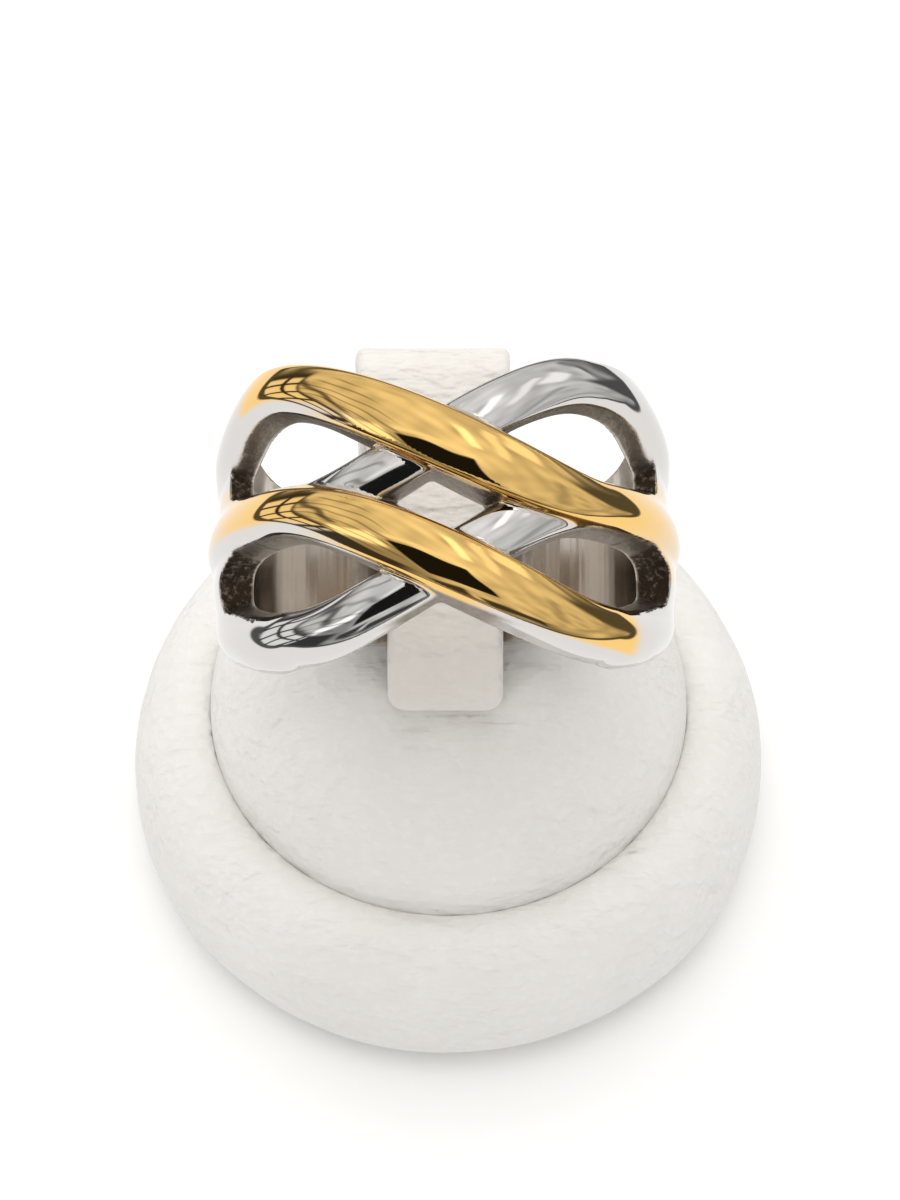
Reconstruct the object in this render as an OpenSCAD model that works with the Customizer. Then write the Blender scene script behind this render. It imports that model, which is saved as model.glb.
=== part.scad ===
// A two-tone crossover ring on a small padded display stand.
// Four strands cross over the finger: two gold ones pass over two silver ones. They are
// soldered into one solid with the shank. The ring leans forward on the stand's soft dome,
// and a leather-covered clip runs through the finger hole and holds it down.
// The origin is the middle of the stand's underside, with the front towards -Y.

/* [Ring] */
// Diameter of the finger hole
finger_d = 17.3; // [15.5:0.1:20.5]
// Wall of the middle strand at the shoulders, where the ring is widest from side to side
shoulder_wall = 1.9; // [1.4:0.1:2.6]
// Wall of the shank under the finger
shank_wall = 1.5; // [1:0.1:2.4]
// Width of the shank under the finger
shank_w = 6.2; // [4:0.1:8]
// Distance along the finger from the middle strand's root to the outer strands' roots
root_pitch = 5.4; // [4.6:0.1:6.4]
// Width of a gold strand
gold_w = 2.7; // [2:0.05:3.4]
// Width of a silver strand
silver_w = 2.3; // [1.8:0.05:3]
// Height of a strand's rounded crown above its own side walls
crown_h = 0.95; // [0.4:0.05:1.2]
// Height of the shank's rounded outside above its edges
shank_crown = 0.55; // [0.2:0.05:0.9]
// How much further a strand's side walls reach out at the finger hole than at the crown
wall_flare = 0.2; // [0:0.05:0.4]
// How far the gold strands rise over the shoulders at the top of the ring
gold_rise = 0.75; // [0.3:0.05:1.2]
// How far the silver strands rise there
silver_rise = 0.15; // [0:0.05:0.3]
// Angle either side of its crossing at which a gold strand has come to its root
gold_reach = 48; // [42:1:52]
// The same angle for a silver strand
silver_reach = 42; // [38:1:50]
// Angle by which the back gold strand crosses to the left of the top
gold_shift = 4; // [0:0.5:6]
// How much lower the outer roots stand than the middle one
outer_drop = 0.3; // [0:0.05:0.5]
// Angle from the top at which the openings between the strands end
opening_end = 73; // [62:1:78]
// Angle by which an opening's end wall slopes further down at the finger hole
end_slope = 15; // [0:1:20]

/* [Ring on the stand] */
// Angle at which the top of the ring leans forward
lean = 21.5; // [0:0.5:30]
// Distance of the ring's centre in front of the stand's axis
ring_forward = 2.5; // [1:0.1:4]
// Distance of the ring's centre to the left of the stand's axis
ring_left = 0.2; // [0:0.1:1]
// Angle at which the ring is turned to the left on the stand
ring_turn = 1; // [0:0.1:4]
// Depth of the dent that the ring presses into the dome
dent_depth = 1.2; // [0.8:0.05:2]
// Gap between the ring and the leather
seat_gap = 0.2; // [0.1:0.05:0.4]

/* [Stand] */
// Widest diameter of the padded base
base_d = 31.6; // [29:0.2:40]
// Height of the padded base
base_h = 8.9; // [7:0.1:12]
// Height at which the base is widest
belly_z = 2.9; // [2:0.1:4]
// Diameter of the crease between the base and the dome
crease_d = 23.4; // [21:0.2:26]
// Depth of the crease under the top of the base
crease_depth = 0.35; // [0.2:0.05:0.8]
// Width of the base's rounded rim, from the crease to the top of the padding
rim_w = 1.1; // [0.6:0.1:2]
// Depth of the flat seat in the base for the dome
seat_depth = 1.6; // [1:0.1:3]
// Height of the dome above the crease
dome_h = 8.8; // [7:0.1:11]
// Gap between the dome's edge and the base
crease_gap = 0.12; // [0.05:0.01:0.3]

/* [Clip] */
// Width of the clip at its front tip
clip_tip_w = 5.4; // [4:0.1:7]
// Width of the clip where it bends down behind the ring
clip_top_w = 7.4; // [5.4:0.1:9]
// Radius of the tip's corners
tip_corner = 0.8; // [0.4:0.1:1.5]
// Length of the tip that keeps its width
tip_straight = 3; // [2:0.1:5]
// Thickness of the leather-covered strip
clip_t = 1.1; // [0.8:0.05:1.6]
// Length of the strip behind the middle of the ring, along the ring's axis
clip_back = 9.3; // [8:0.1:12]
// Distance that the tip reaches in front of the middle of the ring, along the ring's axis
clip_front = 6.2; // [5:0.1:7]
// Depth by which the tip droops under the rest of the clip
tip_droop = 1.3; // [0.5:0.1:2]
// Distance of the clip's tip to the left of the stand's axis
clip_left = 0.15; // [0:0.05:0.5]
// How much further to the left the clip's back end is
clip_skew = 0.6; // [0:0.05:1]
// Radius of the bend at the back, along the middle of the strip
clip_bend_r = 1.3; // [1:0.1:2]
// Depth of the slit in the dome that holds the clip's back end
slit_depth = 2.5; // [1.5:0.1:4]
// Gap between the clip and the ring, and round the clip in the dome
clip_gap = 0.2; // [0.1:0.05:0.4]

/* [Hidden] */

finger_r = finger_d / 2;
// Radius where the ring's sections start, inside the finger hole that is cut afterwards
floor_r = finger_r - 0.5;
shank_floor_r = floor_r - 0.6;
// Share of a root that a silver strand fills
silver_fill = 0.96;
// Turn of the finger hole about its axis, which keeps its flats off the strands' stations
bore_turn = 1.1;
shoulder_r = finger_r + shoulder_wall;
shank_r = finger_r + shank_wall;
dent_r = norm([shank_r, shank_w / 2]) + seat_gap;
crease_z = base_h - crease_depth;
dome_z = crease_z + dome_h;
ring_z = dome_z - dent_depth + dent_r;
// Angle from the top at which the rise of the strands has run out
rise_end = 80;
// Angle after its crossing over which a strand turns straight along the shoulder
settle = 8;

// Share of the way from 0 to 1, with a soft start and end
function ease(t) = let(u = min(max(t, 0), 1)) u * u * (3 - 2 * u);

// Value of one column of a table at x, by straight lines between its rows
function lookup_column(table, column, x) =
    lookup(x, [for (row = table) [row[0], row[column]]]);

// Roots of the strands on their way down to the shank, by the angle from the top.
// Columns: angle; centre and half width of the back root, half width of the middle root,
// centre and half width of the front root, all as shares of root_pitch; and how far the
// roots stand out, from 0 at the shank's radius to 1 at the shoulders' radius.
ROOTS = [
    [45, 1.02, 0.220, 0.205, 1.01, 0.240, 1.00],
    [52, 1.01, 0.230, 0.210, 1.02, 0.245, 1.00],
    [60, 0.96, 0.250, 0.220, 0.99, 0.245, 1.00],
    [68, 0.87, 0.280, 0.240, 0.93, 0.245, 1.00],
    [75, 0.79, 0.300, 0.270, 0.87, 0.255, 1.00],
    [82, 0.73, 0.310, 0.330, 0.79, 0.270, 0.98],
    [92, 0.65, 0.310, 0.380, 0.68, 0.300, 0.95],
    [102, 0.53, 0.300, 0.360, 0.54, 0.300, 0.80],
    [114, 0.38, 0.260, 0.300, 0.38, 0.260, 0.35],
    [126, 0.28, 0.220, 0.260, 0.28, 0.220, -0.2],
    [140, 0.22, 0.150, 0.180, 0.22, 0.150, -2.0],
];

// Half width of the shank, by the angle from the top.
// Columns: angle, half width as a share of half the shank's width, wall as a share of the
// way from the shank's wall to the shoulders' wall.
SHANK = [
    [70, 1.80, 0.60],
    [82, 1.74, 0.60],
    [92, 1.60, 0.55],
    [102, 1.42, 0.45],
    [114, 1.28, 0.30],
    [128, 1.12, 0.15],
    [150, 1.02, 0.03],
    [180, 1.00, 0.00],
];

// Point of the ring at an angle from its top, a place along the finger and a radius
function ring_point(angle, along, radius) =
    [radius * sin(angle), along, radius * cos(angle)];

// Half of a strand's rounded section, from its side wall over the crown and down again:
// [across, height above the side walls], for a half width of 1 and a crown of 1
CROWN = [for (k = [0 : 10]) let(a = 18 * k) [cos(a), pow(sin(a), 0.85)]];

// One section of a strand. along is its centre, half its half width, top its crown's radius
// and slant the angle of its path across the finger. place runs from 1 at the back root to -1
// at the front one, where the side wall is the ring's own edge and stands upright. fill is the
// share of its root that the strand fills, so that strands which share a root are nested.
function strand_section(angle, along, half, top, slant, place, fill) =
    let(
        wall_r = top - crown_h,
        foot = wall_flare / half,
        outline = [
            [1 + foot * (1 - max(place, 0)), floor_r * fill],
            each [for (c = CROWN) [c[0], wall_r + crown_h * c[1]]],
            [-1 - foot * (1 - max(-place, 0)), floor_r * fill]
        ]
    )
    [for (p = outline)
        ring_point(
            angle - half * p[0] * sin(slant) / shoulder_r * 180 / PI,
            along + half * p[0] * cos(slant),
            p[1]
        )];

// Solid through a row of sections with the same number of points
module through(sections) {
    n = len(sections[0]);
    last = (len(sections) - 1) * n;
    polyhedron(
        points = [for (s = sections, p = s) p],
        faces = concat(
            [[for (k = [0 : n - 1]) k]],
            [[for (k = [n - 1 : -1 : 0]) last + k]],
            [for (i = [0 : n : last - n], k = [0 : n - 1]) [i + k, i + n + (k + 1) % n, i + (k + 1) % n]],
            [for (i = [0 : n : last - n], k = [0 : n - 1]) [i + k, i + n + k, i + n + (k + 1) % n]]
        )
    );
}

// Stations of a strand, by the angle from the top of the ring
STATIONS = concat(
    [-126, -114, -102, -92, -82, -75, -68],
    [for (a = [-60 : 5 : 60]) a],
    [68, 75, 82, 92, 102, 114, 126]
);

// Angles between which a strand's tail runs out, and its share of the strand's width
TAIL = [121, 139];
tail_fill = 0.96;

// Centre along the finger of root k at an angle: 1 is the back root, 0 the middle, -1 the front
function root_centre(k, side) = k * root_pitch * lookup_column(ROOTS, k > 0 ? 1 : 4, side);

// Half width of root k there
function root_half(k, side) = root_pitch * lookup_column(ROOTS, k > 0 ? 2 : k < 0 ? 5 : 3, side);

// How far along its crossing a strand is, from 0 on the left to 1 on the right
function way(angle, middle, reach) = ease((angle - middle + reach) / (2 * reach));

// Centre along the finger of a strand that goes from root a to root b
function strand_centre(angle, a, b, middle, reach) =
    let(w = way(angle, middle, reach))
    root_centre(a, abs(angle)) * (1 - w) + root_centre(b, abs(angle)) * w;

// A strand from root a on the left to root b on the right. It crosses round the angle middle,
// within reach of it, is width wide there and rises over the shoulders. Its two ends run out
// as tails in the shank.
module strand(a, b, width, rise, middle, reach, fill) {
    section = function(angle, fill)
        let(
            side = abs(angle),
            w = way(angle, middle, reach),
            at_root = fill * (root_half(a, side) * (1 - w) + root_half(b, side) * w),
            half = at_root + (width / 2 - at_root) * (1 - ease(side / reach)),
            place = a * (1 - w) + b * w,
            outer = shoulder_r - outer_drop * abs(place),
            proud = (outer - shank_r) * lookup_column(ROOTS, 6, side),
            top = shank_r + proud + rise * (1 - ease(side / rise_end)),
            next = strand_centre(angle + 1, a, b, middle, reach),
            last = strand_centre(angle - 1, a, b, middle, reach),
            slant = side > reach + settle ? 0 : atan((next - last) / (shoulder_r * 2 * PI / 180))
        )
        strand_section(angle, strand_centre(angle, a, b, middle, reach), half, top, slant, place, fill);
    through([for (angle = STATIONS) section(angle, fill)]);
    for (end = [-1, 1])
        hull()
            through([for (angle = end > 0 ? TAIL : -TAIL) section(angle, fill * tail_fill)]);
}

// One section of the shank, whose front end slopes inwards under the openings
function shank_section(angle, slope) =
    let(
        side = angle > 180 ? 360 - angle : angle,
        half = shank_w / 2 * lookup_column(SHANK, 1, side),
        top = shank_r + (shoulder_wall - shank_wall) * lookup_column(SHANK, 2, side),
        edge = top - shank_crown,
        crown = [for (c = CROWN) [c[0], edge + shank_crown * c[1]]],
        outline = concat([[1, shank_floor_r]], crown, [[-1, shank_floor_r]])
    )
    [for (p = outline)
        ring_point(angle + slope * (top - p[1]) / (top - finger_r), half * p[0], p[1])];

// The shank. Its two ends are the openings' end walls.
module shank() {
    through(concat(
        [shank_section(opening_end, end_slope)],
        [for (angle = [96 : 12 : 264]) shank_section(angle, 0)],
        [shank_section(360 - opening_end, -end_slope)]
    ));
}

module place_ring() {
    translate([-ring_left, -ring_forward, ring_z])
        rotate([lean, 0, ring_turn])
            children();
}

module ring() {
    color("silver")
        place_ring()
            difference() {
                union() {
                    strand(1, 0, gold_w, gold_rise, -gold_shift, gold_reach, 1);
                    strand(0, -1, gold_w, gold_rise, -gold_shift / 2, gold_reach, 1);
                    strand(-1, 0, silver_w, silver_rise, 1, silver_reach, silver_fill);
                    strand(0, 1, silver_w, silver_rise, 0, silver_reach, silver_fill);
                    shank();
                }
                rotate([90, bore_turn, 0])
                    cylinder(r = finger_r, h = 4 * root_pitch, center = true, $fn = 96);
            }
}

// Outline of the padded base's side, from the crease out over the belly and down to the floor
function base_outline() =
    let(
        rim = crease_d / 2,
        top_r = rim + rim_w,
        reach = base_d / 2 - top_r,
        inner = [for (a = [180 : -22.5 : 112.5])
            [top_r + rim_w * cos(a), crease_z + crease_depth * sin(a)]],
        upper = [for (a = [90 : -7.5 : 0])
            [top_r + reach * cos(a), belly_z + (base_h - belly_z) * sin(a)]],
        lower = [for (a = [-15 : -15 : -60])
            [top_r + reach * cos(a), belly_z + belly_z / sin(60) * sin(a)]]
    )
    concat(inner, upper, lower);

module stand_base() {
    outline = base_outline();
    seat_z = crease_z - seat_depth;
    color("ivory")
        rotate_extrude($fn = 96)
            polygon(concat([[0, seat_z], [crease_d / 2, seat_z]], outline, [[0, 0]]));
}

// Height of the dome at a distance from its axis
function dome_at(r) = crease_z + dome_h * sqrt(1 - pow(2 * r / crease_d, 2));

module stand_dome() {
    edge_r = crease_d / 2 - crease_gap;
    color("ivory")
        difference() {
            rotate_extrude($fn = 96)
                polygon(concat(
                    [[0, crease_z - seat_depth], [edge_r, crease_z - seat_depth], [edge_r, crease_z]],
                    [for (a = [10 : 8 : 82]) [edge_r * cos(a), crease_z + dome_h * sin(a)]],
                    [[0, dome_z]]
                ));
            translate([-ring_left, -ring_forward, ring_z])
                sphere(r = dent_r, $fn = 96);
            clip_body(clip_gap);
        }
}

// Middle line of the clip in the ring's own frame: [along the finger, height over the centre]
clip_h = sqrt(pow(finger_r, 2) - pow(clip_top_w / 2, 2)) - clip_gap - clip_t / 2;
// Distance in front of the ring's middle over which the clip runs straight
straight = 2.2;

// A point of the ring's middle plane as [y, z] of the stand
function from_ring(p) = [
    -ring_forward + p[0] * cos(lean) - p[1] * sin(lean),
    ring_z + p[0] * sin(lean) + p[1] * cos(lean)
];

// Middle line of the clip, from its tip over the shank to the slit behind the ring: [y, z]
function clip_line() =
    let(
        front = [for (t = [0 : 0.125 : 1])
            let(u = 1 - t)
            from_ring([-clip_front * u - straight * t, -clip_h - tip_droop * u * u])],
        start = from_ring([clip_back, -clip_h]),
        centre = [start[0] + clip_bend_r * sin(lean), start[1] - clip_bend_r * cos(lean)],
        bend = [for (a = [90 + lean : -(90 + lean) / 8 : 0]) centre + clip_bend_r * [cos(a), sin(a)]],
        back_y = centre[0] + clip_bend_r
    )
    concat(front, bend, [[back_y, dome_at(back_y) - slit_depth]]);

// Unit vector across the line at point i
function across(line, i) =
    let(
        a = line[max(i - 1, 0)],
        b = line[min(i + 1, len(line) - 1)],
        d = (b - a) / norm(b - a)
    )
    [-d[1], d[0]];

// The clip's side view as an outline of the given half thickness
function clip_side(half) =
    let(line = clip_line(), n = len(line))
    concat(
        [for (i = [0 : n - 1]) line[i] + half * across(line, i)],
        [for (i = [n - 1 : -1 : 0]) line[i] - half * across(line, i)]
    );

// Outline of the clip seen from above: a round-cornered tip that widens towards the bend
// behind the ring and runs a little to the left
module clip_plan(tip_y, end_y, margin) {
    tip_half = clip_tip_w / 2 + margin;
    top_half = clip_top_w / 2 + margin;
    corner = tip_corner + margin;
    inset = tip_half - corner;
    left = [for (a = [180 : 15 : 270]) [-inset + corner * cos(a), tip_y + corner + corner * sin(a)]];
    right = [for (a = [270 : 15 : 360]) [inset + corner * cos(a), tip_y + corner + corner * sin(a)]];
    polygon(concat(left, right, [
        [tip_half, tip_y + tip_straight],
        [top_half - clip_skew, end_y],
        [-top_half - clip_skew, end_y],
        [-tip_half, tip_y + tip_straight]
    ]));
}

// The clip, grown by a margin all round
module clip_body(margin) {
    line = clip_line();
    tip_y = line[0][0] - clip_t / 2 - margin;
    end_y = line[len(line) - 1][0] + clip_t / 2 + margin;
    translate([-clip_left, 0, 0])
        intersection() {
            rotate([90, 0, 90])
                linear_extrude(height = 2 * clip_top_w, center = true)
                    polygon(clip_side(clip_t / 2 + margin));
            linear_extrude(height = 2 * ring_z)
                clip_plan(tip_y, end_y, margin);
        }
}

module ring_clip() {
    color("ivory")
        clip_body(0);
}

ring();
stand_base();
stand_dome();
ring_clip();
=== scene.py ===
"""A two-tone crossover ring on a small padded leather display stand."""

import math

import bpy
import numpy as np
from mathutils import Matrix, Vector


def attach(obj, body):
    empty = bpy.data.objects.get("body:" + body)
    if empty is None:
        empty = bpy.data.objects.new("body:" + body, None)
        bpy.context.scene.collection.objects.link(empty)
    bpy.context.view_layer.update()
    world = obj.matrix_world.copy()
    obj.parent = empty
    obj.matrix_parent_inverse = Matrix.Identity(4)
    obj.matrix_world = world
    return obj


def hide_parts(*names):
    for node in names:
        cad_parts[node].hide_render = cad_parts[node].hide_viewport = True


MM = 0.001

# The photo's camera: degrees below level, focal length and picture height in pixels
CAMERA_PITCH = 57.7
FOCAL_PIXELS = 3960
PHOTO_HEIGHT = 1200

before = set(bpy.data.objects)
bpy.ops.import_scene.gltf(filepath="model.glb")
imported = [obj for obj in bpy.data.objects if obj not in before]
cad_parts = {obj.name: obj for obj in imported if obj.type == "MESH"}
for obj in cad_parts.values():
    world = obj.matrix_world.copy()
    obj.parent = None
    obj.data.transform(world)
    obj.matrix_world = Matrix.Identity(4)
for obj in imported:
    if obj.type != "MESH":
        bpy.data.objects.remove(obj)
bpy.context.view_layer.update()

# The ring's own frame in the stand's, in millimetres: its centre on the stand, its lean and its turn
CENTRE = np.array([-0.2, -2.5, 26.9628])
LEAN = math.radians(21.5)
TURN = math.radians(1.0)

# Sizes of the ring in millimetres. They are the part source's, except for the two rises: the
# gold strands rise 0.03 less here, and the silver ones 0.37 less, so that they dip under the gold
FINGER_R = 8.65
SHOULDER_R = 10.55
SHANK_R = 10.15
SHANK_HALF = 3.1
PITCH = 5.4
GOLD_W = 2.7
SILVER_W = 2.3
GOLD_RISE = 0.72
SILVER_RISE = -0.22
OUTER_DROP = 0.3
RISE_END = 80.0

# Blunt ends of the openings: where the web between the roots starts, where the end's rounding
# starts, how far it reaches in degrees at the back and the front, and its middle and half width
WEB_START = 59.0
ROUND_START = 61.0
REACH_BACK = 12.0
REACH_FRONT = 13.0
REACH_DEEPER = 4.0
OPENING_MIDDLE = 2.55
OPENING_HALF = 1.22
OPENINGS_APART = 5.05
OPENING_TOP = 10.4

# Roots of the strands. Columns: angle from the top; centre and half width of the back root,
# half width of the middle root, centre and half width of the front root, as shares of PITCH;
# and how far the roots stand out from the shank, as a share of the shoulders' height. From
# 102 degrees on they sink sooner than in the part's source.
ROOTS = np.array([
    [0, 1.02, 0.220, 0.205, 1.01, 0.240, 1.00],
    [45, 1.02, 0.220, 0.205, 1.01, 0.240, 1.00],
    [52, 1.01, 0.230, 0.210, 1.02, 0.245, 1.00],
    [60, 0.96, 0.250, 0.220, 0.99, 0.245, 1.00],
    [68, 0.87, 0.280, 0.240, 0.93, 0.245, 1.00],
    [75, 0.79, 0.300, 0.270, 0.87, 0.255, 1.00],
    [82, 0.73, 0.310, 0.330, 0.79, 0.270, 0.98],
    [92, 0.65, 0.310, 0.380, 0.68, 0.300, 0.95],
    [102, 0.53, 0.300, 0.360, 0.54, 0.300, 0.65],
    [114, 0.38, 0.260, 0.300, 0.38, 0.260, -0.3],
    [126, 0.28, 0.220, 0.260, 0.28, 0.220, -2.2],
    [140, 0.22, 0.150, 0.180, 0.22, 0.150, -5.0],
])

# Shank. Columns: angle from the top, half width as a share of SHANK_HALF, wall as a share of
# the way from the shank's radius to the shoulders' radius.
SHANK = np.array([
    [60, 1.80, 0.60],
    [70, 1.80, 0.60],
    [82, 1.74, 0.60],
    [92, 1.60, 0.55],
    [102, 1.42, 0.45],
    [114, 1.28, 0.30],
    [128, 1.12, 0.15],
    [150, 1.02, 0.03],
    [180, 1.00, 0.00],
])


def ease(t):
    """Share of the way from 0 to 1, with a soft start and end."""
    u = np.clip(t, 0, 1)
    return u * u * (3 - 2 * u)


def band(x, low, high):
    """From 0 at low to 1 at high, either way round."""
    return ease((x - low) / (high - low))


def curve(table, column, x):
    """A column of a table at x, on a smooth curve that keeps between its rows' values."""
    xs, ys = table[:, 0], table[:, column]
    step = np.diff(xs)
    rate = np.diff(ys) / step
    slope = np.zeros(len(xs))
    same = rate[1:] * rate[:-1] > 0
    w1, w2 = 2 * step[1:] + step[:-1], step[1:] + 2 * step[:-1]
    slope[1:-1][same] = ((w1 + w2)[same]) / (w1[same] / rate[:-1][same] + w2[same] / rate[1:][same])
    x = np.clip(x, xs[0], xs[-1])
    i = np.clip(np.searchsorted(xs, x, side="right") - 1, 0, len(xs) - 2)
    h = step[i]
    t = (x - xs[i]) / h
    return (
        ys[i] * (1 + 2 * t) * (1 - t) ** 2
        + slope[i] * h * t * (1 - t) ** 2
        + ys[i + 1] * t * t * (3 - 2 * t)
        + slope[i + 1] * h * t * t * (t - 1)
    )


def soft_min(a, b, k):
    """The smaller of two distances, with a fillet of about size k where they meet."""
    h = np.maximum(k - np.abs(a - b), 0) / k
    return np.minimum(a, b) - h * h * k / 4


def soft_max(a, b, k):
    """The larger of two distances, with a rounding of about size k where they meet."""
    return -soft_min(-a, -b, k)


# Strands: root on the left, root on the right, width, rise, angle of the crossing, reach of
# the crossing to each side, and whether it is gold. Root 1 is the back one, -1 the front one.
STRANDS = [
    (1, 0, GOLD_W, GOLD_RISE, -4.0, 48.0, True),
    (0, -1, GOLD_W, GOLD_RISE, -2.0, 48.0, True),
    (-1, 0, SILVER_W, SILVER_RISE, 1.0, 42.0, False),
    (0, 1, SILVER_W, SILVER_RISE, 0.0, 42.0, False),
]
# How far the strands' flanks spread towards the bore, and the rounding of their edges
FLARE = 0.25
EDGE_ROUND = 0.26


def root_centre(k, side):
    """Middle of root k along the finger, at an angle from the top."""
    if k == 0:
        return 0 * side
    return k * PITCH * curve(ROOTS, 1 if k > 0 else 4, side)


def root_half(k, side):
    """Half width of root k, at an angle from the top."""
    return PITCH * curve(ROOTS, 2 if k > 0 else 5 if k < 0 else 3, side)


def strand_path(strand, angle):
    """Centre, half width, crown radius, place from back to front, and slope of the path."""
    a, b, width, rise, middle, reach, _ = strand
    side = np.abs(angle)

    def centre(at):
        w = ease((at - middle + reach) / (2 * reach))
        return root_centre(a, np.abs(at)) * (1 - w) + root_centre(b, np.abs(at)) * w

    w = ease((angle - middle + reach) / (2 * reach))
    at_root = root_half(a, side) * (1 - w) + root_half(b, side) * w
    half = at_root + (width / 2 - at_root) * (1 - ease(side / reach))
    place = a * (1 - w) + b * w
    outer = SHOULDER_R - OUTER_DROP * np.abs(place)
    top = SHANK_R + (outer - SHANK_R) * curve(ROOTS, 6, side) + rise * (1 - ease(side / RISE_END))
    slope = (centre(angle + 0.5) - centre(angle - 0.5)) / math.radians(1) / SHOULDER_R
    return centre(angle), half, top, place, slope


def strand_distance(path, angle, along, radius):
    """Signed distance to a strand, and the place across it: 1 at its back edge, -1 at its front."""
    centre, half, top, place, slope = path
    d = (along - centre) / np.sqrt(1 + slope * slope)
    t = d / half
    ends = ease((np.abs(angle) - 14) / 32)
    # the crest lies towards the front near the roots, where the strand is rounder too
    m = 0.24 * ends * (1 - np.clip(-place, 0, 1))
    held = np.clip(t, -1.4, 1.4)
    rate = 1 - 2 * m * held
    across = held + m * (1 - held * held) + (t - held) * rate
    k_back = 0.66 + 0.20 * ends
    k_front = 0.66 + 0.24 * ends
    k_front = k_front + (0.99 - k_front) * np.clip(-1.2 * place, 0, 1)
    k = k_front + (k_back - k_front) * ease((across + 0.45) / 0.9)
    b = (1.0 + 0.28 * ends) * half
    # the back strand leans back with the ring's slightly domed top
    leaning = radius + 0.2 * np.clip(place, 0, 1) * (1 - ends) * d
    h = np.maximum(leaning - (top - b), 0)
    q = np.sqrt((k * across) ** 2 + (h / b) ** 2) + 1e-9
    steep = np.sqrt((k * k * across * rate / half) ** 2 + (h / b / b) ** 2) + 1e-9
    dome = (q - 1) * q / steep
    deep = np.clip((top - 0.8 - radius) / 1.4, 0, 1)
    side_back = d - half - FLARE * deep * (1 - np.clip(place, 0, 1))
    side_front = -d - half - FLARE * deep * (1 - np.clip(-place, 0, 1))
    side = np.maximum(side_back, side_front)
    return soft_max(dome, side, EDGE_ROUND), t


def shank_distance(angle, along, radius):
    """Signed distance to the shank and the shoulders' web between the strands."""
    side = np.abs(angle)
    half = SHANK_HALF * curve(SHANK, 1, side)
    top = SHANK_R + (SHOULDER_R - SHANK_R) * curve(SHANK, 2, side)
    # the grooves between the strands run out along the shoulders
    top = top - 0.5 * (1 - ease((side - 72) / 36))
    # behind the front openings the shoulders are one smooth surface
    flush = SHANK_R + (SHOULDER_R - SHANK_R) * curve(ROOTS, 6, side)
    flush = flush - 0.1 - 0.1 * (along + 2.4) ** 2
    top = soft_max(top, flush, 0.2)
    a, b = half * 1.03, 0.75
    h = np.maximum(radius - (top - b), 0)
    q = np.sqrt((along / a) ** 2 + (h / b) ** 2) + 1e-9
    dome = (q - 1) * q / (np.sqrt((along / a / a) ** 2 + (h / b / b) ** 2) + 1e-9)
    sides = np.abs(along) - half
    wall = np.radians(WEB_START - side) * radius
    return soft_max(soft_max(dome, sides, 0.25), wall, 0.1)


def opening_distance(side, along, radius):
    """The blunt ends of the openings in the shoulders, with a round back corner."""
    back = along > 0
    along = np.where(back, along - OPENINGS_APART, along)
    deep = np.clip((OPENING_TOP - radius) / (OPENING_TOP - FINGER_R), 0, 1)
    reach = np.where(back, REACH_BACK, REACH_FRONT) + REACH_DEEPER * deep
    u = np.maximum(side - ROUND_START, 0) / reach
    t = (along + OPENING_MIDDLE) / (OPENING_HALF + 0.07 * np.maximum(68 - side, 0))
    # a round corner towards the back and a squarer one towards the front
    n = 3.6 - 1.3 * np.clip(3 * t, -1, 1)
    shape = ((u ** n + np.abs(t) ** n + 1e-9) ** (1 / n) - 1) * 1.15
    return soft_max(shape, np.radians(55 - side) * radius, 0.3)


def ring_distance(angle, along, radius, details=False):
    """Signed distance to the ring's surface in millimetres, about right near the surface.

    With details, also each strand's distance and place across, and the openings' distance.
    """
    side = np.abs(angle)
    melt = 0.24 + 0.36 * ease((side - 80) / 26)
    total = None
    found = []
    for strand in STRANDS:
        f, across = strand_distance(strand_path(strand, angle), angle, along, radius)
        total = f if total is None else soft_min(total, f, melt)
        found.append((f, across))
    opening = opening_distance(side, along, radius)
    shank = soft_max(shank_distance(angle, along, radius), -opening, 0.12)
    total = soft_min(total, shank, melt)
    whole = soft_max(total, FINGER_R - radius, 0.12)
    if not details:
        return whole
    return whole, found, opening


def to_polar(p):
    """Angle from the top in degrees, place along the finger, and radius."""
    return np.degrees(np.arctan2(p[:, 0], p[:, 2])), p[:, 1], np.hypot(p[:, 0], p[:, 2])


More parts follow.
